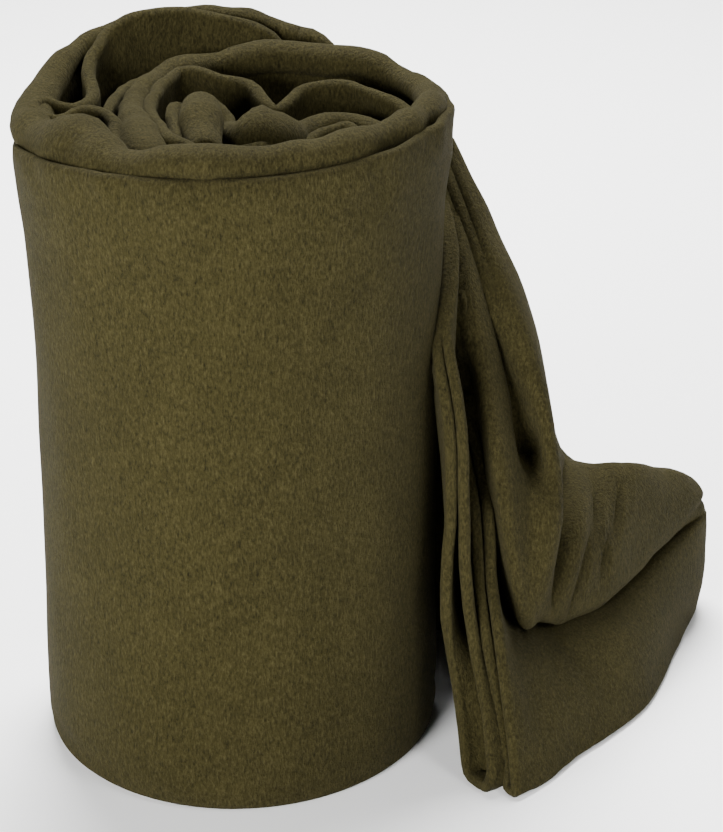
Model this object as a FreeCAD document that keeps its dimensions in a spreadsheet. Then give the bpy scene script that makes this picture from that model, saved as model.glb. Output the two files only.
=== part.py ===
"""A camp blanket: one fleece panel folded in four, rolled up and stood on end.

The panel is folded into a strip of four plies, as tall as the roll, and the strip is
rolled up loosely from one end. Its last stretch is not wound on: it leaves the roll at
the back, spreads over the ground on the right and comes back to stand beside the roll's
right side, as a flap whose upper part has slumped into folds.

Millimetres. +Z is up, the roll stands on z = 0 and its axis is near the Z axis. The flap
lies towards +X, and the side where the strip's end stands beside the roll faces -Y.
"""

import FreeCAD
import Part
import math
import os

import Sketcher

# ---------------------------------------------------------------- driving dimensions

SIZES = {
    # the winding: each turn starts at the same heading and closes in by one pitch
    "leave_angle": 70,
    "turn_pitch": 20,
    # the wrap's brim slopes up towards the back left
    "brim_height": 315,
    "brim_slope": 8,
    "brim_heading": 130,
    "brim_round": 4,
}

# Each turn's centre, its outer radius, its thickness and the round of its edges. The wrap
# is drawn as two pairs of plies: the outer pair ends in a low brim, the inner one in a
# higher rolled rim. The first few centimetres of the strip, in the roll's core, are
# crumpled to and fro instead, so they are loose folds.
TURN_FIELDS = ("x", "y", "radius", "thickness", "height", "lip")
TURNS = {
    "outer_plies": (6, 0, 104, 9.5, 350, 4),
    "inner_plies": (6, 0, 94.2, 9.5, 326, 4.5),
    "second_turn": (9, -7, 69, 19, 320, 7),
}

# A loose fold is a stack of cloth drawn as slots in parallel planes. Each line holds the
# plane's distance, the two ends of the slot's middle line, and half its thickness.
SLOT_FIELDS = ("level", "ax", "ay", "bx", "by", "half")
FOLDS = {
    # level planes: the ends are x and y, and the distance is the height
    "core_left": ("XY_Plane", True, [
        (0, -18, -24, -12, 12, 9),
        (306, -20, -22, -11, 10, 9),
    ]),
    "core_middle": ("XY_Plane", True, [
        (0, 3, -32, 8, 4, 9),
        (302, 5, -32, 7, 2, 9),
    ]),
    "core_right": ("XY_Plane", True, [
        (0, 29, -26, 30, 2, 8),
        (300, 30, -26, 28, 0, 8),
    ]),
    "floor_lobe": ("XY_Plane", False, [
        (0, 152, -64, 236, 84, 13),
        (34, 156, -46, 228, 80, 14),
        (68, 162, -12, 218, 74, 10),
    ]),
    "upper_lobe": ("XY_Plane", False, [
        (69, 168, 6, 222, 70, 10),
        (92, 170, 22, 222, 70, 16),
        (114, 174, 44, 212, 72, 8),
    ]),
    "shoulder_inner": ("XY_Plane", False, [
        (70, 141, -20, 147, -4, 6),
        (150, 135, -4, 147, 14, 8),
        (230, 125, 8, 130, 20, 7),
        (292, 115, 10, 115, 20, 5),
    ]),
    "shoulder_outer": ("XY_Plane", False, [
        (115, 158, 30, 160, 62, 8),
        (190, 146, 36, 148, 66, 8),
        (250, 131, 40, 131, 64, 8),
        (292, 118, 42, 117, 60, 6),
    ]),
    "end_fold_left": ("XY_Plane", False, [
        (0, 124, -80, 120, -46, 4),
        (40, 109, -60, 108, -26, 4),
        (90, 102, -38, 103, -8, 4),
        (300, 102, -8, 103, 4, 3.5),
    ]),
    "end_fold_right": ("XY_Plane", False, [
        (0, 133, -78, 129, -46, 4),
        (40, 119, -58, 118, -26, 4),
        (90, 113, -38, 114, -8, 4),
        (240, 113, -14, 114, -4, 3.5),
    ]),
    # upright planes across the X axis: the ends are y and z
    "flap_root": ("YZ_Plane", True, [
        (49, 91, 9.5, 90, 300, 9.5),
        (96, 108, 9.5, 103, 240, 9.5),
        (141.5, 120, 9.5, 108, 176, 9.5),
    ]),
    "flap_back": ("YZ_Plane", True, [
        (142, 120, 9.5, 108, 174, 9.5),
        (185, 128, 9.5, 108, 124, 9.5),
        (226, 122, 9.5, 100, 84, 9.5),
    ]),
}

doc = FreeCAD.newDocument("camp_blanket")
sheet = doc.addObject("Spreadsheet::Sheet", "sizes")
cells_used = 0


def cell(alias, value):
    """Put a number in the sheet's next row, and give the cell a name."""
    global cells_used
    cells_used += 1
    sheet.set("A%d" % cells_used, alias)
    sheet.set("B%d" % cells_used, str(value))
    sheet.setAlias("B%d" % cells_used, alias)


for alias, value in SIZES.items():
    cell(alias, value)
for turn, values in TURNS.items():
    for field, value in zip(TURN_FIELDS, values):
        cell("%s_%s" % (turn, field), value)
for fold, (role, ruled, slots) in FOLDS.items():
    for number, slot in enumerate(slots, 1):
        for field, value in zip(SLOT_FIELDS, slot):
            cell("%s_%s%d" % (fold, field, number), value)
doc.recompute()

UP = FreeCAD.Vector(0, 0, 1)
QUARTER = math.pi / 2
FORWARD = FreeCAD.Vector(1, 0, 0)


# ---------------------------------------------------------------- sketch helpers

def new_body(name):
    body = doc.addObject("PartDesign::Body", name)
    body.Label = name
    return body


def new_sketch(body, name, role):
    """A sketch on one of the body's own origin planes."""
    sketch = body.newObject("Sketcher::SketchObject", name)
    plane = next(item for item in body.Origin.OriginFeatures if item.Role == role)
    sketch.AttachmentSupport = [(plane, "")]
    sketch.MapMode = "FlatFace"
    return sketch


def arc(centre, radius, begin, end):
    return Part.ArcOfCircle(Part.Circle(centre, UP, radius), begin, end)


def bound(sketch, name, constraint, formula):
    """Add a named dimension to a sketch and tie it to the sheet."""
    index = sketch.addConstraint(constraint)
    sketch.renameConstraint(index, name)
    sketch.setExpression("Constraints." + name, "(%s) * 1 mm" % formula)


def chain(sketch, count):
    """Join a closed outline's curves end to end, each running smoothly into the next."""
    for index in range(count):
        following = (index + 1) % count
        sketch.addConstraint(Sketcher.Constraint("Tangent", index, 2, following, 1))


# ---------------------------------------------------------------- loose folds

def slot_outline(sketch, fold, number):
    """Draw a slot: two half circles joined by two lines."""
    names = {field: "%s_%s%d" % (fold, field, number) for field in SLOT_FIELDS}
    ax, ay, bx, by, half = (sheet.get(names[field]) for field in SLOT_FIELDS[1:])
    first = FreeCAD.Vector(ax, ay, 0)
    last = FreeCAD.Vector(bx, by, 0)
    heading = math.atan2(by - ay, bx - ax)
    side = FreeCAD.Vector(-math.sin(heading), math.cos(heading), 0) * half
    sketch.addGeometry([
        arc(first, half, heading + QUARTER, heading + 3 * QUARTER),
        Part.LineSegment(first - side, last - side),
        arc(last, half, heading - QUARTER, heading + QUARTER),
        Part.LineSegment(last + side, first + side),
    ], False)
    chain(sketch, 4)
    sketch.addConstraint(Sketcher.Constraint("Equal", 0, 2))
    bound(sketch, "half", Sketcher.Constraint("Radius", 0, half), "sizes." + names["half"])
    for curve, letter, point in ((0, "a", first), (2, "b", last)):
        for axis, kind, value in (("x", "DistanceX", point.x), ("y", "DistanceY", point.y)):
            dimension = Sketcher.Constraint(kind, -1, 1, curve, 3, value)
            bound(sketch, letter + axis, dimension, "sizes." + names[letter + axis])


def lofted_fold(fold, role, ruled, count):
    """A stack of cloth, lofted through its slots."""
    body = new_body(fold)
    sketches = []
    for number in range(1, count + 1):
        sketch = new_sketch(body, "%s_slot%d" % (fold, number), role)
        sketch.setExpression("AttachmentOffset.Base.z", "sizes.%s_level%d * 1 mm" % (fold, number))
        slot_outline(sketch, fold, number)
        sketches.append(sketch)
    loft = body.newObject("PartDesign::AdditiveLoft", fold + "_loft")
    loft.Profile = sketches[0]
    loft.Sections = sketches[1:]
    loft.Ruled = ruled
    return body


# ---------------------------------------------------------------- turns of the roll

def spiral_spine(sketch, turn):
    """Two half circles that close in by one pitch; returns where they start."""
    pitch = sheet.get("turn_pitch")
    radius = sheet.get(turn + "_radius") - sheet.get(turn + "_thickness") / 2
    leave = math.radians(sheet.get("leave_angle"))
    heading = FreeCAD.Vector(math.cos(leave), math.sin(leave), 0)
    centre = FreeCAD.Vector(sheet.get(turn + "_x"), sheet.get(turn + "_y"), 0)
    closer = centre - heading * (pitch / 2)
    sketch.addGeometry([
        arc(centre, radius, leave, leave + math.pi),
        arc(closer, radius - pitch / 2, leave + math.pi, leave + 2 * math.pi),
    ], False)
    sketch.addConstraint(Sketcher.Constraint("Tangent", 0, 2, 1, 1))
    middle = "sizes.%s_radius - sizes.%s_thickness / 2" % (turn, turn)
    wide = Sketcher.Constraint("Radius", 0, radius)
    tight = Sketcher.Constraint("Radius", 1, radius - pitch / 2)
    across = Sketcher.Constraint("DistanceX", -1, 1, 0, 3, centre.x)
    along = Sketcher.Constraint("DistanceY", -1, 1, 0, 3, centre.y)
    bound(sketch, "wide", wide, middle)
    bound(sketch, "tight", tight, middle + " - sizes.turn_pitch / 2")
    bound(sketch, "centre_x", across, "sizes.%s_x" % turn)
    bound(sketch, "centre_y", along, "sizes.%s_y" % turn)
    return centre + heading * radius


def lipped_section(sketch, turn):
    """The stack's upright section: a tall rectangle with rounded corners."""
    half = sheet.get(turn + "_thickness") / 2
    height = sheet.get(turn + "_height")
    lip = sheet.get(turn + "_lip")
    flat = half - lip

    def line(x1, y1, x2, y2):
        return Part.LineSegment(FreeCAD.Vector(x1, y1, 0), FreeCAD.Vector(x2, y2, 0))

    def corner(x, y, quarters):
        return arc(FreeCAD.Vector(x, y, 0), lip, quarters * QUARTER, (quarters + 1) * QUARTER)

    sketch.addGeometry([
        line(-flat, 0, flat, 0),
        corner(flat, lip, 3),
        line(half, lip, half, height - lip),
        corner(flat, height - lip, 0),
        line(flat, height, -flat, height),
        corner(-flat, height - lip, 1),
        line(-half, height - lip, -half, lip),
        corner(-flat, lip, 2),
    ], False)
    chain(sketch, 8)
    for index in (3, 5, 7):
        sketch.addConstraint(Sketcher.Constraint("Equal", 1, index))
    sketch.addConstraint(Sketcher.Constraint("Horizontal", 0))
    sketch.addConstraint(Sketcher.Constraint("PointOnObject", 0, 1, -1))
    half_formula = "sizes.%s_thickness / 2" % turn
    outside = Sketcher.Constraint("DistanceX", -1, 1, 2, 1, half)
    inside = Sketcher.Constraint("DistanceX", 6, 1, -1, 1, half)
    top = Sketcher.Constraint("DistanceY", -1, 1, 4, 1, height)
    bound(sketch, "lip", Sketcher.Constraint("Radius", 1, lip), "sizes.%s_lip" % turn)
    bound(sketch, "outside", outside, half_formula)
    bound(sketch, "inside", inside, half_formula)
    bound(sketch, "top", top, "sizes.%s_height" % turn)


def turn_of_strip(turn, name):
    """One turn of the strip: its upright section swept along the spiral."""
    body = new_body(name)
    spine = new_sketch(body, name + "_spine", "XY_Plane")
    start = spiral_spine(spine, turn)
    section = new_sketch(body, name + "_section", "XZ_Plane")
    # the section stands across the spine's start, with its own x pointing outwards
    plane_turn = FreeCAD.Rotation(FORWARD, 90)
    facing = FreeCAD.Rotation(UP, sheet.get("leave_angle")) * plane_turn
    into_plane = plane_turn.inverted()
    section.AttachmentOffset = FreeCAD.Placement(into_plane.multVec(start), into_plane * facing)
    lipped_section(section, turn)
    pipe = body.newObject("PartDesign::AdditivePipe", name + "_pipe")
    pipe.Profile = section
    pipe.Spine = spine
    return body


def slope_brim(tall, name):
    """Cut the wrap's outer plies to a brim that slopes, and round it over."""
    slab = doc.addObject("Part::Box", "brim_slab")
    slab_side = 400
    for side_name in ("Length", "Width", "Height"):
        setattr(slab, side_name, slab_side)
    heading = FreeCAD.Rotation(UP, sheet.get("brim_heading"))
    tilt = FreeCAD.Rotation(FreeCAD.Vector(0, 1, 0), -sheet.get("brim_slope"))
    leaning = heading * tilt
    corner = leaning.multVec(FreeCAD.Vector(-slab_side / 2, -slab_side / 2, 0))
    slab.Placement = FreeCAD.Placement(corner, leaning)
    slab.setExpression("Placement.Base.z", "(sizes.brim_height + %.4f) * 1 mm" % corner.z)
    cut = doc.addObject("Part::Cut", name + "_cut")
    cut.Base = tall
    cut.Tool = slab
    doc.recompute()
    slope_up = leaning.multVec(UP)
    brim = next(
        face for face in cut.Shape.Faces
        if isinstance(face.Surface, Part.Plane) and face.normalAt(0, 0).isEqual(slope_up, 1e-4)
    )
    curved = [edge.hashCode() for edge in brim.Edges if not isinstance(edge.Curve, Part.Line)]
    radius = sheet.get("brim_round")
    rounded = doc.addObject("Part::Fillet", name)
    rounded.Base = cut
    rounded.Edges = [
        (number, radius, radius)
        for number, edge in enumerate(cut.Shape.Edges, 1) if edge.hashCode() in curved
    ]
    return rounded


# ---------------------------------------------------------------- the sub-parts

sub_parts = {}
tall_plies = turn_of_strip("outer_plies", "tall_plies")
sub_parts["outer_plies"] = slope_brim(tall_plies, "outer_plies")
for turn in ("inner_plies", "second_turn"):
    sub_parts[turn] = turn_of_strip(turn, turn)
for fold, (role, ruled, slots) in FOLDS.items():
    sub_parts[fold] = lofted_fold(fold, role, ruled, len(slots))
doc.recompute()

for item in doc.Objects:
    if {"Invalid", "Error"} & set(item.State):
        raise SystemExit("%s failed: %s" % (item.Name, item.State))
os.makedirs("parts", exist_ok=True)
for label, feature in sub_parts.items():
    shape = feature.Shape
    if shape.isNull() or not shape.isValid() or shape.Volume <= 0:
        raise SystemExit("%s has no valid solid" % label)
    print("%-16s %9.0f mm3" % (label, shape.Volume))
    shape.exportStep("parts/%s.step" % label)
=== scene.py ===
"""Camp blanket: one fleece panel folded in four, rolled up, with its outer end left loose on the floor.

The panel is swept as a real folded sheet. Across the strip it runs P1 (outer face, hem at the top), round a
fold at the bottom to P2, over a soft fold at the top to P3, round the bottom again to P4 (inner face, hem at
the top). Lengths in the tables below are millimetres in the frame that the CAD uses; meshes are in metres.
"""

from math import pi, radians

import bpy
import numpy as np
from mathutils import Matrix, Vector


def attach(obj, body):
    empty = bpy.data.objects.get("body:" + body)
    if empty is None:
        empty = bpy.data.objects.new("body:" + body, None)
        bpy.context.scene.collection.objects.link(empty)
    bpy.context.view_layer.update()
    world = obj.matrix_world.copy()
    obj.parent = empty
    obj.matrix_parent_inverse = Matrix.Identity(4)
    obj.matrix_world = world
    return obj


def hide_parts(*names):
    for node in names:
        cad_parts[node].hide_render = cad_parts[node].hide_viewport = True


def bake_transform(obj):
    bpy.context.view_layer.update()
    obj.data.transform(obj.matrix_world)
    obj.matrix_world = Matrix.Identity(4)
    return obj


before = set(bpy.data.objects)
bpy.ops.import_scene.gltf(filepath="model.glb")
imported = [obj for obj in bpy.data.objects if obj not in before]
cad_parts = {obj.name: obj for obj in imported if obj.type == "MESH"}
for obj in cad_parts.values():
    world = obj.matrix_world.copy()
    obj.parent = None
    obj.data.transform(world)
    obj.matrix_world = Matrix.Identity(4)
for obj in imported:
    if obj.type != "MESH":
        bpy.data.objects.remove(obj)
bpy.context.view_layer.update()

MM = 0.001
SEED = 11
LATTICE = 64  # side of the grid of random values that the soft noise repeats

# ---- the cloth ----
PLY = 4.5  # one ply with its pile
HALF_PLY = PLY / 2
STACK = 18.4  # four plies
DEPTHS = (2.3, 6.9, 11.5, 16.1)  # ply centres, measured inwards from the outer face
TURN_RADIUS = (DEPTHS[1] - DEPTHS[0]) / 2  # of a tight bottom fold
STRIP_HEIGHT = 316.0

# ---- the roll: places along the strip are turn angles, in degrees from the +X side ----
FIRST_TURN = 70  # where the loose end leaves the roll
CORE_TURN = 690  # from here on the strip lies crumpled in the middle
LAST_TURN = 900
FOLD_SPIRAL_END, FOLD_CORE_START = 533, 548  # the top fold passes from its first table to its second
CORE_BLEND = (680, 710)  # between these the strip's middle line leaves the spiral
LIP_BLEND = (660, 700)  # and between these the outer lip does
WIDEST_RADIUS = 101.5  # of the outer face
WALL_RADIUS = 95.0  # of the standing wall, on average

# the outer face: (turn, radius)
OUTER_FACE = [
    (40, 97), (70, 97), (140, 98), (180, 100), (225, 101), (270, 101.5), (315, 101), (350, 101.5),
    (375, 100), (405, 91), (432, 78), (470, 75), (640, 75), (690, 73),
]
# the crumpled middle: (turn, x, y) of the strip's middle line
CORE_COURSE = [
    (690, 61, -22), (715, 61, -5), (735, 48, 2), (752, 36, -5), (770, 28, -18), (790, 16, -27),
    (812, 3, -20), (830, 0, -8), (846, -8, 1), (862, -15, -8), (880, -14, -26), (900, -10, -42),
]
# the soft top fold between P2 and P3: (turn, radius of its outer side, height, width)
TOP_FOLD_POLAR = [
    (40, 93, 324, 11), (70, 95, 330, 11), (90, 96.5, 337, 11), (107, 97, 337, 10.5),
    (120, 98, 337, 10.5), (130, 98, 336, 11), (140, 98.5, 334.5, 12), (150, 99, 331, 14),
    (160, 99.5, 327, 17), (170, 100, 323.5, 19), (180, 100.5, 320.5, 19), (190, 100.5, 320, 19),
    (200, 99.5, 321, 21), (210, 98.5, 325.5, 27), (219, 98, 329, 31), (228, 97.5, 326.5, 28),
    (237, 97, 320.5, 20), (246, 96.8, 321.5, 16), (255, 97.5, 325.5, 15.5), (270, 98, 327, 15.5),
    (285, 98, 327.5, 15.5), (300, 97.8, 328.5, 15), (315, 97.8, 329.5, 15), (330, 98.2, 329.5, 14),
    (345, 98.8, 328, 13.5), (357, 99, 326, 13.5), (367, 98.5, 324, 13), (378, 97, 323, 13),
    (393, 94, 325, 13.5), (405, 89.5, 326, 14), (414, 85, 326, 15), (432, 81, 327, 16),
    (449, 76, 325, 16), (472, 72, 322, 15), (483, 68.5, 321, 14), (498, 60, 321, 12.5),
    (518, 54, 319, 11.5), (533, 52, 317, 12),
]
# the same fold further in: (turn, x and y of its centre, height, width)
TOP_FOLD_CORE = [
    (548, -44, -13, 320, 17), (560, -41, -27, 322, 22), (574, -38, -43, 321, 24),
    (588, -32, -57, 316, 20), (604, -20, -66, 309, 15), (622, -2, -68, 307, 12),
    (645, 24, -64, 308, 12), (668, 46, -50, 309, 12), (690, 63, -31, 311, 12), (707, 69, -14, 314, 12),
    (722, 57, -4, 315, 13), (738, 44, -2, 314, 13), (754, 34, -9, 312, 13), (770, 27, -17, 316, 19),
    (790, 15, -25, 324, 27), (812, 2, -20, 315, 14), (830, -1, -8, 313, 12), (846, -8, 2, 321, 13),
    (862, -13, -10, 326, 17), (880, -12, -28, 325, 19), (900, -10, -46, 317, 14),
]
# the hem of P4, the thin inner edge that wanders: (turn, x, y, height)
INNER_HEM = [
    (40, 58, 52, 312), (70, 26, 75, 318), (78, 18, 77, 328), (90, 3, 80, 334), (100, -13, 79, 337.5),
    (108, -26, 78, 340.5), (120, -43, 71, 341.5), (129, -54, 64, 339.5), (137, -61, 60, 335.5),
    (145, -66, 53, 331), (151, -68.5, 46, 327), (157, -69, 37, 323), (163, -67, 27, 319.5),
    (168, -66, 18, 317), (172, -68, 10, 316), (176, -74, 4, 315.5), (180, -81, 3, 318),
    (184, -87, 0, 321), (188, -89.5, -7, 321), (192, -87.5, -14, 320), (196, -82, -18, 318),
    (200, -76, -17, 317), (205, -70, -15, 320), (210, -63, -16, 321.5), (216, -56, -20, 321),
    (222, -52, -28, 320), (229, -51, -38, 318), (238, -47, -52, 315), (248, -37, -65, 313),
    (262, -16, -75, 314), (274, 4, -76, 316), (284, 18, -75, 317), (296, 34, -71, 314),
    (312, 52, -61, 312), (330, 68, -43, 311), (348, 79, -20, 311), (362, 82, -2, 313),
    (372, 79, 8, 315), (381, 72, 14, 317), (391, 62, 22, 318.5), (402, 50, 28, 319.5),
    (411, 40, 28, 318.5), (418, 32, 26, 317), (424, 26, 17, 314), (430, 20, 10, 312),
    (437, 14, 18, 315), (445, 8, 30, 318), (455, -4, 36, 319.5), (466, -16, 41, 322),
    (480, -27, 42, 321), (495, -33, 30, 320), (512, -36, 16, 318.5), (530, -37, 1, 317),
    (550, -34, -19, 317), (572, -28, -38, 317), (592, -18, -50, 316), (612, -4, -56, 312),
    (640, 18, -54, 308), (664, 36, -44, 308), (684, 50, -28, 309), (700, 58, -17, 311),
    (714, 54, -11, 312.5), (730, 46, -13, 311), (748, 38, -20, 309), (768, 30, -30, 306),
    (790, 16, -40, 312), (812, 2, -34, 308), (830, -8, -20, 306), (846, -18, -6, 316),
    (862, -25, -4, 319), (880, -25, -18, 317), (900, -22, -38, 314),
]
# the hem of P1, the outer lip: (turn, radius, height)
# it stands free of the fold above it, so a dark groove shows between them
OUTER_LIP = [
    (40, 97, 308), (70, 97, 314), (90, 98, 321), (120, 98, 320), (150, 98, 309), (175, 99, 303),
    (195, 101, 307), (210, 101.5, 310), (225, 102, 312.5), (240, 102, 314), (270, 102, 316),
    (300, 102, 317.5), (315, 102, 319), (330, 102.3, 320.5), (345, 102.8, 321), (357, 103, 319),
    (368, 102.5, 317.5), (380, 101, 318), (395, 96, 318), (412, 89, 316), (432, 82, 314),
    (470, 76, 311), (495, 68, 315), (515, 61, 317), (540, 59, 317), (560, 60, 311), (600, 72, 303),
    (690, 74, 303),
]

# how wide the standing roll is at each height, as a share of the outer face's radius: (height, share)
PROFILE = [
    (0, 0.930), (4, 0.944), (12, 0.955), (40, 0.957), (85, 0.951), (150, 0.948), (215, 0.953),
    (260, 0.972), (290, 0.990), (306, 1.0), (345, 1.0),
]

BELLY, BELLY_TURN, BELLY_SPREAD = 0.045, 268, 48  # the foot bellies out at the front: share, turn, degrees
BELLY_TOP, BELLY_FULL = 120, 10  # heights where it begins and where it is full
RIPPLE, RIPPLE_DEGREES = 0.7, 9.0  # unevenness of the top fold's height
FOLD_NECK = radians(58)  # the top fold is a soft roll that narrows again below its middle
REACH = (46, 40, 80, 95)  # how far below its top each ply leaves the wall for its own course

# ---- rows across the strip and stations along it ----
P1_ROWS = 54
P2_ROWS = 24
P4_ROWS = 34
TURN_ROWS = 7
FOLD_ROWS = 15
OUTER_SPREAD, INNER_SPREAD = 1.25, 1.6  # how much closer a ply's rows lie near its top
ROLL_STATIONS = 250
DENSE_STATIONS = 1600

# ---- small procedural helpers ----


def course(table, at):
    """Smooth curve through the table's rows; the first column says where along the strip each row stands."""
    rows = np.array(table, float)
    x = rows[:, 0]
    y = rows[:, 1:]
    slope = np.empty_like(y)
    slope[1:-1] = (y[2:] - y[:-2]) / (x[2:] - x[:-2])[:, None]
    slope[0] = (y[1] - y[0]) / (x[1] - x[0])
    slope[-1] = (y[-1] - y[-2]) / (x[-1] - x[-2])
    at = np.atleast_1d(np.asarray(at, float))
    k = np.clip(np.searchsorted(x, at, side="right") - 1, 0, len(x) - 2)
    width = x[k + 1] - x[k]
    u = np.clip((at - x[k]) / width, 0, 1)[:, None]
    width = width[:, None]
    h00 = (1 + 2 * u) * (1 - u) ** 2
    h10 = u * (1 - u) ** 2
    h01 = u * u * (3 - 2 * u)
    h11 = u * u * (u - 1)
    return h00 * y[k] + h10 * width * slope[k] + h01 * y[k + 1] + h11 * width * slope[k + 1]


def smooth(t):
    t = np.clip(t, 0, 1)
    return t * t * (3 - 2 * t)


def ramp(x, start, end):
    """Goes smoothly from 0 where x is start to 1 where x is end, whichever of the two is larger."""
    return smooth((x - start) / (end - start))


def bell(x, centre, width):
    return np.exp(-(((x - centre) / width) ** 2))


def spot(x, y, centre, size):
    """1 at the centre and fading all round it; size says how far it reaches each way."""
    return np.exp(-(((x - centre[0]) / size[0]) ** 2) - (((y - centre[1]) / size[1]) ** 2))


def hump(x, start, end):
    """Rises from 0 at start to 1 half way and back to 0 at end."""
    return np.sin(pi * np.clip((x - start) / (end - start), 0, 1)) ** 1.5


def rounded(x, centre, half):
    """Cross-section of a soft tube: round on top, meeting its neighbour in a sharp valley."""
    return np.sqrt(np.clip(1 - ((x - centre) / half) ** 2, 0, 1))


def arc_angles(rows, start=0, end=pi):
    """Angles of the rows round a fold, without its two ends."""
    return np.linspace(start, end, rows + 2)[1:-1]


def polar(turn, radius):
    a = np.radians(turn)
    return np.stack([radius * np.cos(a), radius * np.sin(a)], -1)


def unit(v):
    return v / np.maximum(np.linalg.norm(v, axis=-1, keepdims=True), 1e-9)


def soft_noise(x, y, seed):
    """Smooth value noise between -1 and 1 on a unit lattice."""
    lattice = np.random.RandomState(seed).uniform(-1, 1, (LATTICE, LATTICE))
    xi = np.floor(x).astype(int)
    yi = np.floor(y).astype(int)
    fx = smooth(x - xi)
    fy = smooth(y - yi)
    a = lattice[xi % LATTICE, yi % LATTICE]
    b = lattice[(xi + 1) % LATTICE, yi % LATTICE]
    c = lattice[xi % LATTICE, (yi + 1) % LATTICE]
    d = lattice[(xi + 1) % LATTICE, (yi + 1) % LATTICE]
    return (a * (1 - fx) + b * fx) * (1 - fy) + (c * (1 - fx) + d * fx) * fy


def plan_normal(points):
    """Outward side of a plan course that runs counter-clockwise into the roll."""
    tangent = unit(np.gradient(points, axis=0))
    normal = np.stack([tangent[:, 1], -tangent[:, 0]], -1)
    kernel = np.array([1, 2, 3, 2, 1]) / 9.0
    padded = np.pad(normal, ((2, 2), (0, 0)), mode="edge")
    out = np.stack([np.convolve(padded[:, i], kernel, "valid") for i in range(2)], -1)
    return unit(out)


# ---- the sections ----


def spread(count, power):
    """Shares 0..1 from the bottom of a ply to its top, closer together near the top as power grows."""
    u = np.linspace(0, 1, count)
    return 1 - (1 - u) ** power


def section(plies, bottoms, fold):
    """One closed order of centreline points across the strip: P1 down, P2 up, top fold, P3 down, P4 up.

    plies[k](share) gives (stations, 3) points; bottoms are the two U-turns; fold is the top fold.
    """
    rows = []
    rows += [plies[0](u) for u in spread(P1_ROWS, OUTER_SPREAD)[::-1]]
    rows += bottoms[0]
    rows += [plies[1](u) for u in spread(P2_ROWS, INNER_SPREAD)]
    rows += fold
    rows += [plies[2](u) for u in spread(P2_ROWS, INNER_SPREAD)[::-1]]
    rows += bottoms[1]
    rows += [plies[3](u) for u in spread(P4_ROWS, INNER_SPREAD)]
    return np.stack(rows, 1)


def plan_z(plan, z):
    z = np.broadcast_to(z, (len(plan),))
    return np.concatenate([plan, np.asarray(z)[:, None]], 1)


# ---- the rolled part ----


def roll_stations():
    """Turn angles evenly spaced along the strip's middle line."""
    dense = np.linspace(FIRST_TURN, LAST_TURN, DENSE_STATIONS)
    steps = np.linalg.norm(np.diff(middle_plan(dense), axis=0), axis=1)
    along = np.concatenate([[0], np.cumsum(steps)])
    return np.interp(np.linspace(0, along[-1], ROLL_STATIONS), along, dense)


def middle_plan(turn):
    """The strip's middle line in plan: a spiral, then the crumpled middle."""
    spiral = polar(turn, course(OUTER_FACE, np.minimum(turn, CORE_TURN))[:, 0] - STACK / 2)
    core = course(CORE_COURSE, np.maximum(turn, CORE_TURN))
    into = ramp(turn, *CORE_BLEND)[:, None]
    return spiral * (1 - into) + core * into


def top_fold_at(turn):
    """Centre of the soft top fold in plan, its height and its width."""
    polar_part = course(TOP_FOLD_POLAR, np.minimum(turn, FOLD_SPIRAL_END))
    width = polar_part[:, 2]
    plan = polar(turn, polar_part[:, 0] - width / 2)
    core = course(TOP_FOLD_CORE, np.maximum(turn, FOLD_CORE_START))
    into = ramp(turn, FOLD_SPIRAL_END, FOLD_CORE_START)[:, None]
    plan = plan * (1 - into) + core[:, :2] * into
    height = polar_part[:, 1] * (1 - into[:, 0]) + core[:, 2] * into[:, 0]
    width = width * (1 - into[:, 0]) + core[:, 3] * into[:, 0]
    return plan, height, width


def outer_lip_at(turn, middle, side):
    """P1's hem in plan, and its height."""
    lip = course(OUTER_LIP, np.minimum(turn, CORE_TURN))
    spiral = polar(turn, lip[:, 0] - DEPTHS[0])
    core = middle + side * (STACK / 2 - DEPTHS[0])
    into = ramp(turn, *LIP_BLEND)[:, None]
    return spiral * (1 - into) + core * into, lip[:, 1]


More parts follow.
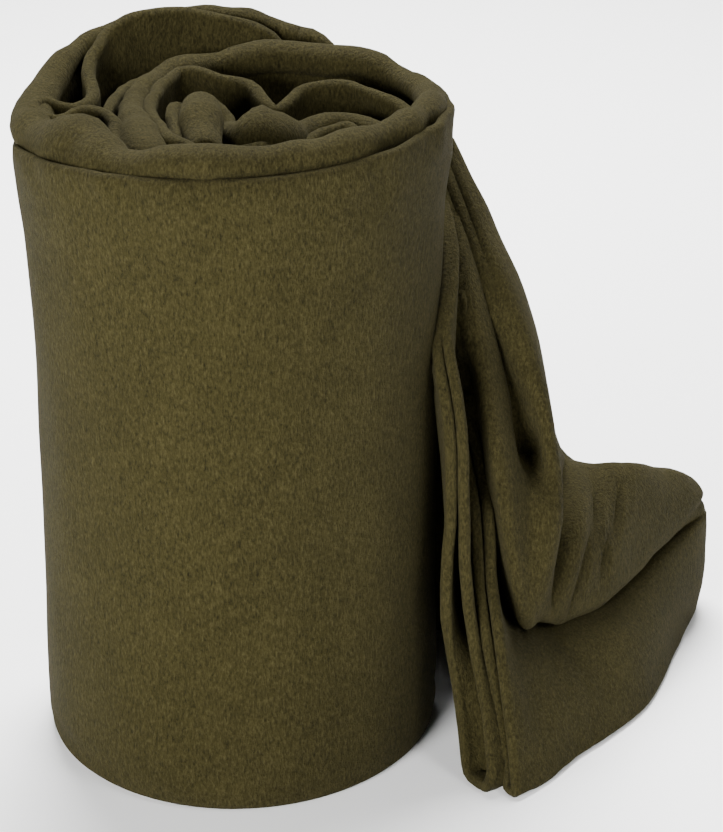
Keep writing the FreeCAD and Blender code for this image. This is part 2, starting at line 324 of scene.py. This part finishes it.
def roll_sheet():
    """Centre surface of the rolled strip, by station and row, and how far its wrinkles move it."""
    turn = roll_stations()
    middle = middle_plan(turn)
    side = plan_normal(middle)
    fold_plan, fold_z, fold_width = top_fold_at(turn)
    fold_side = plan_normal(fold_plan)
    fold_z = fold_z + RIPPLE * soft_noise(turn / RIPPLE_DEGREES, turn * 0, SEED)
    fold_radius = fold_width / 2 - HALF_PLY
    fold_floor = fold_z - HALF_PLY - fold_radius
    lip_plan, lip_z = outer_lip_at(turn, middle, side)
    hem = course(INNER_HEM, turn)
    belly = BELLY * bell(turn, BELLY_TURN, BELLY_SPREAD)

    def base(depth, z):
        """Plan of the standing wall at that depth and height."""
        share = course(PROFILE, z)[:, 0] + belly * ramp(z, BELLY_TOP, BELLY_FULL)
        return (middle + side * (STACK / 2 - depth)) * share[:, None]

    def ply(index, top_plan, top_z):
        low = TURN_RADIUS + HALF_PLY

        def point(u):
            z = low + (top_z - low) * u
            go = smooth((z - (top_z - REACH[index])) / REACH[index])[:, None]
            return plan_z(base(DEPTHS[index], z) * (1 - go) + top_plan * go, z)

        return point

    neck_half = (fold_radius * np.cos(FOLD_NECK))[:, None]
    neck_z = fold_floor - fold_radius * np.sin(FOLD_NECK)
    plies = [
        ply(0, lip_plan, lip_z - HALF_PLY),
        ply(1, fold_plan + fold_side * neck_half, neck_z),
        ply(2, fold_plan - fold_side * neck_half, neck_z),
        ply(3, hem[:, :2], hem[:, 2] - HALF_PLY),
    ]

    def bottom_turn(first, second):
        radius = (second - first) / 2
        points = []
        for angle in arc_angles(TURN_ROWS):
            depth = (first + second) / 2 - radius * np.cos(angle)
            z = np.full(len(turn), radius + HALF_PLY - radius * np.sin(angle))
            points.append(plan_z(base(depth, z), z))
        return points

    def top_fold():
        points = []
        for angle in arc_angles(FOLD_ROWS, -FOLD_NECK, pi + FOLD_NECK):
            plan = fold_plan + fold_side * (fold_radius * np.cos(angle))[:, None]
            points.append(plan_z(plan, fold_floor + fold_radius * np.sin(angle)))
        return points

    bottoms = [bottom_turn(DEPTHS[0], DEPTHS[1]), bottom_turn(DEPTHS[2], DEPTHS[3])]
    grid = section(plies, bottoms, top_fold())
    return grid, wrinkle_roll(grid, turn)


def wrinkle_roll(grid, turn):
    """Soft unevenness of the cloth: long shallow waves on the wall, smaller ones near the rim."""
    z = grid[:, :, 2]
    arc = np.radians(turn)[:, None] * WALL_RADIUS + 0 * z  # distance round the wall
    wave = 0.9 * soft_noise(arc / 52 + 3, z / 95 + 7, SEED + 1)
    wave += 0.45 * soft_noise(arc / 21, z / 40, SEED + 2)
    rim = ramp(z, 285, 310)
    wave += rim * 1.35 * soft_noise(arc / 11, z / 14, SEED + 3)
    # a shallow crease, here and there, just above the foot
    crease = -1.3 * bell(z - 17 - 5 * np.sin(arc / 70), 0, 4.0)
    wave += crease * smooth(soft_noise(arc / 60 + 9, z * 0, SEED + 4) + 0.6)
    # still where the flap joins on and at the floor
    wave *= ramp(turn[:, None], FIRST_TURN, FIRST_TURN + 6) * ramp(z, 2, 11)
    return wave


# ---- the loose flap: outer face of the strip, by distance from the leaving line ----
# each line follows one level of the cloth from the floor edge up, through the stations named here
S_LEAVE, S_ROOT, S_BACK, S_FAR_BACK, S_SLUMP, S_BEND = 0, 45, 98, 140, 178, 212
S_END, S_RIGHT, S_MIDDLE, S_WEDGE, S_BEHIND = 232, 268, 302, 330, 347
S_RIDGE, S_VALLEY, S_PLEAT, S_RECESS, S_FREE = 359, 371, 384, 397, 410
STATIONS = [
    S_LEAVE, S_ROOT, S_BACK, S_FAR_BACK, S_SLUMP, S_BEND, S_END, S_RIGHT,
    S_MIDDLE, S_WEDGE, S_BEHIND, S_RIDGE, S_VALLEY, S_PLEAT, S_RECESS, S_FREE,
]
# name: (height along the cloth, a point in space for each station)
FLAP_LINES = {
    "floor": (0, [
        (33, 91, 0), (72, 90, 0), (120, 104, 0), (160, 119, 0), (198, 130, 0), (232, 128, 0), (241, 108, 0),
        (228, 66, 0), (208, 4, 0), (182, -35, 0), (174, -45, 0), (167, -53, 0), (159, -64, 0),
        (150, -76, 0), (140, -87, 0), (129, -97, 0),
    ]),
    "lower lobe": (36, [
        (33, 91, 36), (72, 89, 36), (120, 104, 35), (160, 119, 33), (199, 131, 29), (236, 129, 27),
        (244, 106, 27), (226, 64, 30), (201, 10, 30), (174, -23, 30), (166, -32, 31), (159, -40, 32),
        (151, -50, 34), (143, -60, 36), (136, -69, 38), (128, -77, 40),
    ]),
    "lower crown": (66, [
        (33, 91, 66), (72, 89, 66), (119, 103, 63), (158, 118, 57), (198, 130, 51), (235, 128, 47),
        (243, 104, 55), (216, 62, 53), (184, 18, 48), (160, -8, 51), (153, -15, 52), (148, -21, 54),
        (142, -31, 56), (136, -40, 59), (131, -49, 64), (126, -59, 78),
    ]),
    "crease": (90, [
        (33, 91, 90), (72, 88, 90), (118, 102, 84), (156, 117, 73), (196, 128, 61), (226, 122, 54),
        (242.5, 105, 59), (213, 76, 54), (180, 42, 45), (158, 16, 46), (151, 8, 48), (147, 2, 50),
        (141, -4, 54), (135, -6, 58), (128, -6, 66), (125, -52, 106),
    ]),
    "upper lip": (116, [
        (33, 91, 116), (72, 88, 116), (117, 101, 106), (154, 115, 88), (194, 124, 68), (233, 124, 60),
        (241, 104, 64), (213, 58, 58), (184, 14, 53), (160, -10, 56), (152, -22, 64), (146, -29, 70),
        (140, -35, 68), (134, -33, 78), (124, 0, 92), (123.5, -47, 136),
    ]),
    "upper front": (150, [
        (33, 91, 150), (72, 87, 148), (116, 99, 132), (152, 112, 104), (192, 116, 70), (232, 120, 68),
        (240, 105, 71), (219, 66, 74), (190, 24, 84), (166, 2, 98), (153, -4, 110), (154, -22, 118),
        (140, -22, 131), (127, -36, 134), (118, -6, 140), (121.5, -42, 166),
    ]),
    "crown": (182, [
        (33, 91, 182), (72, 86, 178), (113, 97, 156), (149, 107, 117), (188, 106, 62), (226, 112, 76),
        (229, 104, 82), (215, 84, 94), (194, 60, 108), (166, 50, 112), (153, 18, 141), (151, -10, 158),
        (137, -6, 163), (120, -17, 178), (112, -2, 182), (117, -36, 198),
    ]),
    "upper back": (222, [
        (33, 91, 222), (72, 85, 213), (109, 95, 181), (145, 103, 128), (181, 96, 44), (206, 106, 66),
        (210, 108, 76), (199, 100, 78), (178, 84, 84), (150, 74, 106), (145, 32, 192), (137, 6, 208),
        (125, 7, 210), (113, -1, 216), (106, 12, 216), (112, -18, 228),
    ]),
    "shoulder": (266, [
        (33, 91, 266), (72, 84, 251), (104, 92, 205), (139, 98, 134), (172, 88, 24), (186, 100, 44),
        (186, 104, 44), (178, 99, 36), (162, 88, 46), (144, 84, 104), (126, 48, 238), (118, 30, 250),
        (112, 35, 250), (106, 30, 252), (101, 42, 252), (99, 40, 262),
    ]),
    "top edge": (316, [
        (33, 91, 316), (71, 84, 290), (98, 88, 228), (132, 92, 140), (160, 80, 8), (168, 94, 14),
        (170, 96, 14), (162, 94, 12), (148, 88, 24), (130, 86, 104), (101, 70, 278), (98, 66, 289),
        (96, 66, 288), (95, 65, 287), (94, 64, 286), (93, 63, 285),
    ]),
}

HEADING = (0.955, -0.30, 0.0)  # which way the strip leaves the roll
ROOT_BLEND = (2, 40)  # between these the strip turns from that heading to its own course
FREE_FROM_ROLL = (60, 100)  # from here on the plies are kept outside the roll
LEVELS = 110  # rows of the outer face, floor edge to top edge
FINE_FROM, COARSE_STATIONS, FINE_STATIONS = 325, 66, 52  # the pleats and the strip's end are finer
END_SWELL = 0.26  # how much thicker the plies look at the strip's end, where the pile stands free
FACE_ROUNDS, CALM_ROUNDS = 2, 30  # rounds of evening out for the outer face and for the inner plies
RELAX_STEP = 0.4
NORMAL_ROUNDS = 4
PLY_GAP, LAYER_GAP = 0.4, 2.6  # room between the roll and the plies that lean on it, and between those plies
LEAN_BACK = 3.0  # how far the inner plies sit back where the pleats lean on the roll
SQUEEZE = 0.75  # how much of the room between the plies is lost behind the pleats
FLOOR_GAP = 0.2

# how far out or in of the outer face each fold of the upper lobe and the pleats reaches
PLEAT, POCKET, GROOVE, TUCK, SMALL_FOLD = 6.0, 20.0, 6.0, 4.0, 10.0
POCKET_HEIGHT, TUCK_HEIGHT = 167, 149

# at the strip's end the outer pair of plies ends further back: heights, and how far
RETREAT_HEIGHTS = [0, 30, 70, 120, 170, 230, 316]
RETREAT = [9, 7, 3, 4, 13, 24, 8]
OUTER_PAIR = 1.6  # layers above this belong to it
# extra room between the plies at the free end: (size, from height, to height) for each ply
GAPS = ([], [(0.5, 20, 200)], [(1.0, 20, 200)], [(8.5, -70, 122), (1.0, 20, 200)])
LOOP_SWELL = 4.5  # near the floor the inner pair's loop swells over the outer pair's end
LOOP_HEIGHT = 16.0

FLAP_FOLD_RADIUS = 3.6
FLAP_FOLD_TOP = STRIP_HEIGHT - 6 - FLAP_FOLD_RADIUS
FLAP_TOPS = (STRIP_HEIGHT - 14.0, FLAP_FOLD_TOP, FLAP_FOLD_TOP, STRIP_HEIGHT - 9.0)  # of the four plies


def flap_face(along):
    """Outer face of the flap: points by station and by height along the cloth."""
    levels = []
    curves = []
    for level, points in FLAP_LINES.values():
        rows = [(s,) + p for s, p in zip(STATIONS, points)]
        levels.append(level)
        curves.append(course(rows, along))
    curves = np.stack(curves, 1)
    heights = np.linspace(0, STRIP_HEIGHT, LEVELS)
    face = np.empty((len(along), len(heights), 3))
    for i in range(len(along)):
        table = np.concatenate([np.array(levels, float)[:, None], curves[i]], 1)
        face[i] = course(table, heights)
    return heights, face


def relax(face, rounds):
    """Even out the cloth so that neighbouring folds meet softly."""
    face = face.copy()
    for _ in range(rounds):
        inner = face[1:-1, 1:-1]
        around = (face[2:, 1:-1] + face[:-2, 1:-1] + face[1:-1, 2:] + face[1:-1, :-2]) / 4
        face[1:-1, 1:-1] = inner * (1 - RELAX_STEP) + around * RELAX_STEP
    return face


def face_normals(face):
    """Outward direction at each point of a face, evened out over its neighbours."""
    along = np.gradient(face, axis=0)
    up = np.gradient(face, axis=1)
    normal = unit(np.cross(up, along))
    for _ in range(NORMAL_ROUNDS):
        wide = np.pad(normal, ((1, 1), (1, 1), (0, 0)), mode="edge")
        normal = wide[1:-1, 1:-1] * 2 + wide[2:, 1:-1] + wide[:-2, 1:-1] + wide[1:-1, 2:] + wide[1:-1, :-2]
        normal = unit(normal)
    return normal


def opening(along):
    """0 where the plies lie pressed together, 1 at the strip's free end."""
    return ramp(along, S_PLEAT, S_FREE)


def end_swell(along):
    return 1 + END_SWELL * opening(along)


def clear_of_roll(points, along, layer):
    """Keep a ply outside the standing roll; layer 0 lies against it, 3 is the outermost."""
    share = course(PROFILE, points[:, 2])[:, 0]
    need = WIDEST_RADIUS * share + HALF_PLY * end_swell(along) + PLY_GAP + LAYER_GAP * layer
    radius = np.hypot(points[:, 0], points[:, 1])
    push = np.maximum(need - radius, 0) * ramp(along, *FREE_FROM_ROLL)
    out = points.copy()
    out[:, :2] += points[:, :2] / radius[:, None] * push[:, None]
    return out


def pleats(along, heights):
    """How far the cloth stands out in the two long pleats and in the small folds of the upper lobe."""
    s = along[:, None]
    h = heights[None, :]
    falls = ramp(h, 146, 172) * (1 - 0.5 * ramp(h, 240, STRIP_HEIGHT))
    inner_pleat = rounded(s, (S_RECESS + S_VALLEY) / 2, (S_RECESS - S_VALLEY) / 2)
    outer_pleat = rounded(s, (S_VALLEY + S_BEHIND) / 2 - 1, (S_VALLEY - S_BEHIND) / 2 + 1)
    both = np.maximum(inner_pleat, outer_pleat)
    span = ramp(s, S_BEHIND - 4, S_BEHIND + 4) * ramp(s, S_RECESS + 4, S_RECESS - 4)
    out = PLEAT * falls * (both - 0.9) * span
    # the valley between them, the pocket at its foot and the cloth caught under that
    out = out - POCKET * spot(s, h, (S_VALLEY - 3, POCKET_HEIGHT), (4.2, 10))
    out = out - GROOVE * (bell(s, S_VALLEY, 2.6) * ramp(h, 168, 180) * ramp(h, 300, 260))
    out = out + TUCK * spot(s, h, (S_VALLEY - 5, TUCK_HEIGHT), (6, 6))
    # small folds of the upper lobe run down and towards the far bend
    slant = s + (h - 150) * 0.22
    small = np.maximum(rounded(slant, 331, 8), 0.7 * rounded(slant, 316, 7))
    reach = ramp(slant, 302, 310) * ramp(slant, 345, 340)
    return out + SMALL_FOLD * hump(h, 112, 196) * (small - 0.55) * reach


def flap_surfaces(along):
    """The outer face with its folds, the calmer surface that the inner plies follow, and both normals."""
    heights, face = flap_face(along)
    face = relax(face, FACE_ROUNDS)
    normal = face_normals(face)
    face = face + normal * pleats(along, heights)[:, :, None]
    lift = 0.9 * soft_noise(along[:, None] / 24, heights[None, :] / 30, SEED + 6)
    lift += 0.5 * soft_noise(along[:, None] / 9, heights[None, :] / 15, SEED + 7)
    face = face + normal * lift[:, :, None] * ramp(along, 0, 40)[:, None, None]
    calm = relax(face, CALM_ROUNDS)
    outside = np.maximum(((calm - face) * normal).sum(-1, keepdims=True), 0)
    calm = calm - normal * outside
    calm_normal = face_normals(calm)
    # where the pleats lean on the roll the plies stack towards its axis
    leaning = ramp(heights[None, :], 175, 215) * ramp(along[:, None], 332, 344)
    leaning = leaning[:, :, None]
    radial = unit(face * np.array([1.0, 1.0, 0.0]))
    normal = unit(normal * (1 - leaning) + radial * leaning)
    calm = calm - radial * (LEAN_BACK * leaning)
    calm_normal = unit(calm_normal * (1 - leaning) + radial * leaning)
    return heights, face, normal, calm, calm_normal


def flap_stack(along):
    """A function that finds points in the stack of plies below the flap's outer face."""
    heights, face, normal, calm, calm_normal = flap_surfaces(along)
    retreat = np.interp(heights, RETREAT_HEIGHTS, RETREAT)

    def at(depth, height, layer):
        """Point of the stack at that depth below the outer face and that height along the cloth."""
        h = np.clip(np.broadcast_to(height, (len(along),)), 0, STRIP_HEIGHT)
        pos = h / STRIP_HEIGHT * (len(heights) - 1)
        k = np.clip(np.floor(pos).astype(int), 0, len(heights) - 2)
        f = (pos - k)[:, None]
        # behind the pleats there is less room between the plies
        crowded = ramp(along, 320, 334) * ramp(along, S_RECESS + 5, S_RECESS - 7)
        crowded = crowded * ramp(h, 66, 86) * ramp(h, 250, 210)
        depth = (np.broadcast_to(depth, (len(along),)) * (1 - SQUEEZE * crowded))[:, None]
        inner = ramp(depth, 3, 12)
        # only the outer pair of plies ends further back
        back = np.interp(h, heights, retreat) * opening(along) * (layer > OUTER_PAIR)
        row = np.interp(along - back, along, np.arange(len(along)))
        i = np.clip(np.floor(row).astype(int), 0, len(along) - 2)
        g = (row - i)[:, None]

        def pick(values):
            near = values[i, k] * (1 - f) + values[i, k + 1] * f
            far = values[i + 1, k] * (1 - f) + values[i + 1, k + 1] * f
            return near * (1 - g) + far * g

        point = pick(face) * (1 - inner) + pick(calm) * inner
        out = unit(pick(normal) * (1 - inner) + pick(calm_normal) * inner)
        return clear_of_roll(point - out * depth, along, layer)

    return at


def flap_depth(along, index, h):
    """Depth of a ply's centre below the outer face."""
    room = sum(size * hump(h, start, end) for size, start, end in GAPS[index])
    depth = DEPTHS[index] * end_swell(along) + room * opening(along)
    if index == 2:
        depth = depth - LOOP_SWELL * ramp(along, S_RECESS - 2, S_FREE - 4) * ramp(h, 62, 22)
    return depth


def flap_sheet(root_section):
    """Centre surface of the flap; it starts as the roll's own first section."""
    coarse = np.linspace(0, FINE_FROM, COARSE_STATIONS)
    fine = np.linspace(FINE_FROM, S_FREE, FINE_STATIONS)[1:]
    along = np.concatenate([coarse, fine])
    at = flap_stack(along)
    # radius of the inner pair's bottom loop, which is wider than the outer pair's
    loop = (flap_depth(along, 3, LOOP_HEIGHT) - flap_depth(along, 2, LOOP_HEIGHT)) / 2
    lows = (TURN_RADIUS + HALF_PLY, loop + HALF_PLY + LOOP_SWELL * opening(along))

    def ply(index):
        low = lows[index // 2]

        def point(u):
            h = low + (FLAP_TOPS[index] - low) * u
            return at(flap_depth(along, index, h), h, 3 - index)

        return point

    def bottom_turn(first):
        low = lows[first // 2]
        start = flap_depth(along, first, low)
        end = flap_depth(along, first + 1, low)
        points = []
        for angle in arc_angles(TURN_ROWS):
            depth = (start + end) / 2 - (end - start) / 2 * np.cos(angle)
            points.append(at(depth, low - (end - start) / 2 * np.sin(angle), 3 - first))
        return points

    def top_fold():
        start = flap_depth(along, 1, FLAP_FOLD_TOP)
        end = flap_depth(along, 2, FLAP_FOLD_TOP)
        points = []
        for angle in arc_angles(FOLD_ROWS):
            depth = (start + end) / 2 - (end - start) / 2 * np.cos(angle)
            points.append(at(depth, FLAP_FOLD_TOP + FLAP_FOLD_RADIUS * np.sin(angle), 1.5))
        return points

    grid = section([ply(index) for index in range(4)], [bottom_turn(0), bottom_turn(2)], top_fold())
    straight = root_section[None] + unit(np.array(HEADING)) * along[:, None, None]
    go = ramp(along, *ROOT_BLEND)[:, None, None]
    grid = straight * (1 - go) + grid * go
    grid[:, :, 2] = np.maximum(grid[:, :, 2], HALF_PLY * end_swell(along)[:, None] + FLOOR_GAP)
    return grid, along


# ---- sheet to solid mesh ----
HEM_ANGLES = np.radians([30, 60, 90, 120, 150])  # points round a hem
END_ANGLES = (35, 70)  # rings that round off the strip's ends, in degrees
LIP_BEAD_ROWS, LIP_BEAD = 8, 0.15  # the hem of P1 is a little fuller than the sheet
HEM_BEAD_ROWS, HEM_BEAD = 10, 0.50  # the hem of P4 is a soft bead


def sheet_normals(grid):
    return unit(np.cross(np.gradient(grid, axis=1), np.gradient(grid, axis=0)))


def half_thickness(columns):
    """Half of the sheet's thickness in each row across the strip."""
    scale = np.ones(columns)
    scale[:LIP_BEAD_ROWS] += LIP_BEAD * smooth(np.linspace(1, 0, LIP_BEAD_ROWS))
    scale[-HEM_BEAD_ROWS:] += HEM_BEAD * smooth(np.linspace(0, 1, HEM_BEAD_ROWS))
    return scale[:, None] * HALF_PLY


def sheet_rings(grid, normal, flat_ends, swell):
    """Closed loops of points around the sheet: one for each station, and two more round each free end."""
    across = half_thickness(grid.shape[1])
    beyond_first = unit(grid[:, 0] - grid[:, 1])
    beyond_last = unit(grid[:, -1] - grid[:, -2])

    def hem(centre, nrm, beyond, half):
        return [centre + (nrm * np.cos(a) + beyond * np.sin(a)) * half for a in HEM_ANGLES]

    def ring(i, centre, scale):
        half = across * scale
        front = centre + normal[i] * half
        back = centre - normal[i] * half
        last = hem(centre[-1], normal[i][-1], beyond_last[i], half[-1])
        first = hem(centre[0], -normal[i][0], beyond_first[i], half[0])
        return np.concatenate([front, last, back[::-1], first])

    def round_end(i, inside, angles):
        outward = unit(grid[i] - grid[inside])
        rings = []
        for a in angles:
            shift = outward * HALF_PLY * swell[i] * np.sin(radians(a))
            rings.append(ring(i, grid[i] + shift, swell[i] * np.cos(radians(a))))
        return rings

    rings = [ring(i, grid[i], swell[i]) for i in range(len(grid))]
    if not flat_ends[0]:
        rings = round_end(0, 1, END_ANGLES[::-1]) + rings
    if not flat_ends[1]:
        rings = rings + round_end(-1, -2, END_ANGLES)
    return rings


def side_faces(rings, around):
    """Quads between each ring and the next."""
    faces = []
    for a in range(0, (rings - 1) * around, around):
        b = a + around
        for j in range(around):
            k = (j + 1) % around
            faces.append((a + j, a + k, b + k, b + j))
    return faces


def cap_faces(start, columns, flip):
    """Faces that close the ring whose points begin at start."""
    extra = len(HEM_ANGLES)
    faces = []
    for j in range(start, start + columns - 1):
        opposite = 2 * start + 2 * columns + extra - 1 - j
        faces.append((j, opposite, opposite - 1, j + 1))
    last = [start + columns - 1 + j for j in range(extra + 2)]
    first = [start + 2 * columns + extra - 1 + j for j in range(extra + 1)] + [start]
    faces += [tuple(last[::-1]), tuple(first[::-1])]
    return [face[::-1] for face in faces] if flip else faces


def sheet_mesh(name, grid, wave, flat_ends, swell):
    """A closed mesh around the sheet's centre surface, with rounded hems and ends; mm in, metres out."""
    normal = sheet_normals(grid)
    rings = sheet_rings(grid + normal * wave[:, :, None], normal, flat_ends, swell)
    around = len(rings[0])
    columns = grid.shape[1]
    sides = side_faces(len(rings), around)
    caps = cap_faces(0, columns, False) + cap_faces((len(rings) - 1) * around, columns, True)
    points = np.concatenate(rings) * MM
    mesh = bpy.data.meshes.new(name)
    mesh.from_pydata(points.tolist(), [], sides + caps)
    mesh.update()
    smooth_flags = np.ones(len(mesh.polygons), bool)
    smooth_flags[len(sides):] = False
    mesh.polygons.foreach_set("use_smooth", smooth_flags)
    obj = bpy.data.objects.new(name, mesh)
    bpy.context.scene.collection.objects.link(obj)
    return obj


# ---- materials ----
OLIVE_DARK = (0.0058, 0.0050, 0.0015, 1)
OLIVE = (0.0215, 0.0182, 0.0056, 1)
OLIVE_LIGHT = (0.046, 0.0392, 0.0140, 1)
DARK_AT, MIDDLE_AT, LIGHT_AT = 0.34, 0.5, 0.69  # where the three tones stand on the ramp
FLEECE_SURFACE = {
    "Roughness": 0.95,
    "Specular IOR Level": 0.06,
    "Sheen Weight": 0.03,
    "Sheen Roughness": 0.55,
    "Sheen Tint": (0.55, 0.50, 0.30, 1),
}
STREAK_SCALE = (1, 1, 0.42)  # the pile is drawn out up and down
BROAD_NOISE = (34, 3, 0.55)  # scale, detail, roughness
CLUMP_NOISE = (660, 4, 0.7)
PILE_NOISE = (1150, 3, 0.7)
PILE_SHARE = 0.55  # of the fine pattern
BROAD_SHARE = 0.10  # of the whole pattern
PILE_BUMP = (0.7, 0.0011)  # strength, height in metres
CLUMP_BUMP = (0.65, 0.0022)
STUDIO_WHITE = (0.99, 0.99, 0.985, 1)
FLOOR_ROUGHNESS = 0.9
FLOOR_SIZE = 8  # metres


def set_inputs(shader_node, values):
    for key, value in values.items():
        shader_node.inputs[key].default_value = value


def fleece():
    """Short-pile olive fleece: mottled colour, fine clumped pile, soft sheen."""
    material = bpy.data.materials.new("olive_fleece")
    material.use_nodes = True
    tree = material.node_tree
    link = tree.links.new
    shader = tree.nodes["Principled BSDF"]
    set_inputs(shader, FLEECE_SURFACE)

    coords = tree.nodes.new("ShaderNodeTexCoord")
    streaks = tree.nodes.new("ShaderNodeMapping")
    set_inputs(streaks, {"Scale": STREAK_SCALE})
    link(coords.outputs["Object"], streaks.inputs["Vector"])

    def noise(look, source):
        scale, detail, rough = look
        made = tree.nodes.new("ShaderNodeTexNoise")
        set_inputs(made, {"Scale": scale, "Detail": detail, "Roughness": rough})
        link(source, made.inputs["Vector"])
        return made.outputs["Fac"]

    def mix(share, first, second):
        made = tree.nodes.new("ShaderNodeMix")
        made.data_type = "FLOAT"
        made.inputs[0].default_value = share
        link(first, made.inputs[2])
        link(second, made.inputs[3])
        return made.outputs[0]

    def bump(look, source):
        strength, distance = look
        made = tree.nodes.new("ShaderNodeBump")
        set_inputs(made, {"Strength": strength, "Distance": distance})
        link(source, made.inputs["Height"])
        return made

    broad = noise(BROAD_NOISE, coords.outputs["Object"])
    clumps = noise(CLUMP_NOISE, streaks.outputs["Vector"])
    pile = noise(PILE_NOISE, streaks.outputs["Vector"])

    tone = tree.nodes.new("ShaderNodeValToRGB")
    dark, light = tone.color_ramp.elements
    dark.position = DARK_AT
    dark.color = OLIVE_DARK
    light.position = LIGHT_AT
    light.color = OLIVE_LIGHT
    tone.color_ramp.elements.new(MIDDLE_AT).color = OLIVE
    pattern = mix(BROAD_SHARE, mix(PILE_SHARE, clumps, pile), broad)
    link(pattern, tone.inputs["Fac"])
    link(tone.outputs["Color"], shader.inputs["Base Color"])

    fine = bump(PILE_BUMP, pile)
    coarse = bump(CLUMP_BUMP, clumps)
    link(fine.outputs["Normal"], coarse.inputs["Normal"])
    link(coarse.outputs["Normal"], shader.inputs["Normal"])
    return material


def plain(name, colour, rough):
    material = bpy.data.materials.new(name)
    material.use_nodes = True
    set_inputs(material.node_tree.nodes["Principled BSDF"], {"Base Color": colour, "Roughness": rough})
    return material


# ---- build ----
roll_grid, roll_wave = roll_sheet()
flap_grid, flap_along = flap_sheet(roll_grid[0])
flap_grid = flap_grid[::-1]  # so that both parts run the same way, into the roll
flap_wave = np.zeros(flap_grid.shape[:2])  # its unevenness is in its face already

cloth = fleece()
roll = sheet_mesh("blanket_roll", roll_grid, roll_wave, (True, False), np.ones(len(roll_grid)))
roll.data.materials.append(cloth)
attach(roll, "roll")
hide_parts("outer_plies", "inner_plies", "second_turn", "core_left", "core_middle", "core_right")

flap = sheet_mesh("blanket_flap", flap_grid, flap_wave, (False, True), end_swell(flap_along)[::-1])
flap.data.materials.append(cloth)
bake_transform(flap)
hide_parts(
    "flap_root", "flap_back", "floor_lobe", "upper_lobe", "shoulder_inner", "shoulder_outer",
    "end_fold_left", "end_fold_right",
)

# ---- stage, light, camera ----
WORLD_STRENGTH = 0.12
# name, place, point aimed at, width, power
LIGHTS = [
    ("key", (-0.82, -1.66, 0.58), (0.0, 0.0, 0.15), 0.9, 92),
    ("top", (0.1, 0.9, 1.7), (0.0, 0.3, 0.0), 1.2, 150),
    ("side", (1.0, -0.9, 1.2), (0.17, 0.03, 0.1), 0.6, 11),
]
CAMERA_PLACE = (0.060, -1.250, 0.720)
CAMERA_TILT = radians(65.9)  # from straight down
CAMERA_LENS, CAMERA_SENSOR = 141.5, 36


def stage():
    bpy.ops.mesh.primitive_plane_add(size=FLOOR_SIZE, location=(0, 0, 0))
    floor = bpy.context.object
    floor.name = "floor"
    floor.data.materials.append(plain("studio_white", STUDIO_WHITE, FLOOR_ROUGHNESS))
    world = bpy.data.worlds.new("studio")
    bpy.context.scene.world = world
    world.use_nodes = True
    set_inputs(world.node_tree.nodes["Background"], {"Color": (1, 1, 1, 1), "Strength": WORLD_STRENGTH})


def area_light(name, place, aim, width, power):
    data = bpy.data.lights.new(name, "AREA")
    data.shape = "DISK"
    data.size = width
    data.energy = power
    lamp = bpy.data.objects.new(name, data)
    lamp.location = place
    direction = Vector(np.array(aim) - np.array(place))
    lamp.rotation_euler = direction.to_track_quat("-Z", "Y").to_euler()
    bpy.context.scene.collection.objects.link(lamp)


def camera():
    data = bpy.data.cameras.new("camera")
    data.sensor_fit = "HORIZONTAL"
    data.sensor_width = CAMERA_SENSOR
    data.lens = CAMERA_LENS
    cam = bpy.data.objects.new("camera", data)
    cam.location = CAMERA_PLACE
    cam.rotation_euler = (CAMERA_TILT, 0, 0)
    bpy.context.scene.collection.objects.link(cam)
    bpy.context.scene.camera = cam


stage()
for light in LIGHTS:
    area_light(*light)
camera()
